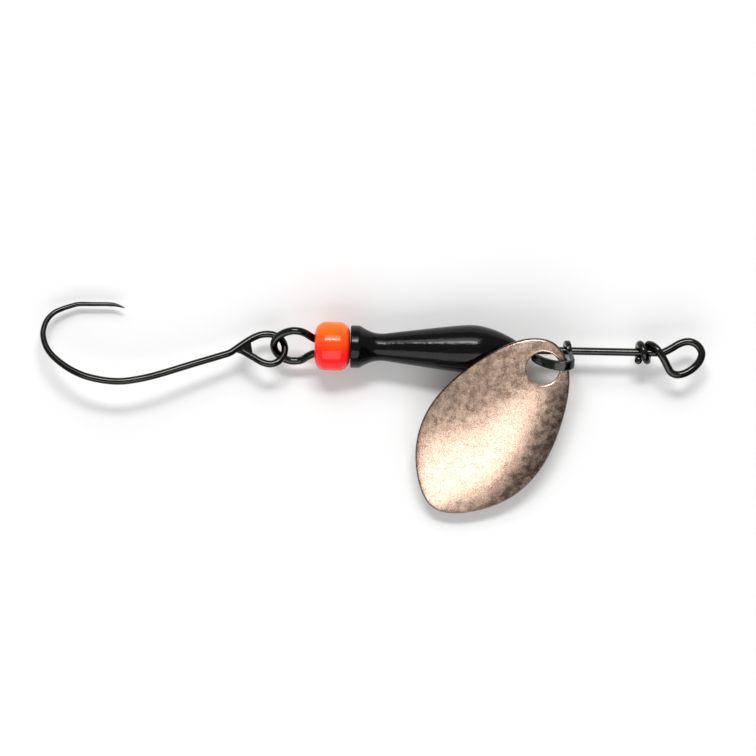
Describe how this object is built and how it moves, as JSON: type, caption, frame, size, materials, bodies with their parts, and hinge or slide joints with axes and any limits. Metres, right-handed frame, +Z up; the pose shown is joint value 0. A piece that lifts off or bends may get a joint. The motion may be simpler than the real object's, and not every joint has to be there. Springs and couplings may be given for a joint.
{
  "type": "inline spinner fishing lure",
  "caption": "Inline spinner fishing lure: wire shaft with a line eye, swinging blade on a clevis, tapered weight and bead, and a quick-change rear loop holding a barbless hook.",
  "frame": {"origin": "centre of the line eye, on the shaft axis", "axes": "+X forward along the shaft towards the line, +Z up, -Y the side shown in the picture"},
  "size_m": [0.0667, 0.0066, 0.0205],
  "materials": {
    "wire": "black-nickel plated spring wire",
    "bead": "glossy fluorescent orange-red",
    "weight": "semi-gloss black paint with fine sparkle",
    "bearing": "plain nickel",
    "clevis": "black nickel",
    "blade": "satin rose-brown copper",
    "hook": "black nickel"
  },
  "bodies": {
    "wire": {"shaft_wire": "wire"},
    "bead": {"rear_bead": "bead"},
    "weight": {"weight_body": "weight"},
    "bearing": {"bearing_bead": "bearing"},
    "clevis": {"clevis": "clevis"},
    "blade": {"blade": "blade"},
    "hook": {"hook": "hook"}
  },
  "joints": [
    {"name": "stack_slide", "type": "slide", "parent": "wire", "child": "bead", "axis": [1, 0, 0], "range_m": [0, 0.0047]},
    {"name": "weight_spin", "type": "hinge", "parent": "bead", "child": "weight", "pos_m": [-0.025, 0, 0], "axis": [1, 0, 0], "continuous": true},
    {"name": "clevis_play", "type": "slide", "parent": "bead", "child": "bearing", "axis": [1, 0, 0], "range_m": [0, 0.0015]},
    {"name": "clevis_spin", "type": "hinge", "parent": "bearing", "child": "clevis", "pos_m": [-0.0133, 0, 0], "axis": [1, 0, 0], "continuous": true},
    {"name": "blade_swing", "type": "hinge", "parent": "clevis", "child": "blade", "pos_m": [-0.01416, -0.00221, -0.00159], "axis": [0, 0.9659, 0.2588], "range_deg": [-8, 48]},
    {"name": "hook_swing", "type": "hinge", "parent": "wire", "child": "hook", "pos_m": [-0.0405, 0, 0], "axis": [0, 1, 0], "range_deg": [-30, 30]}
  ]
}
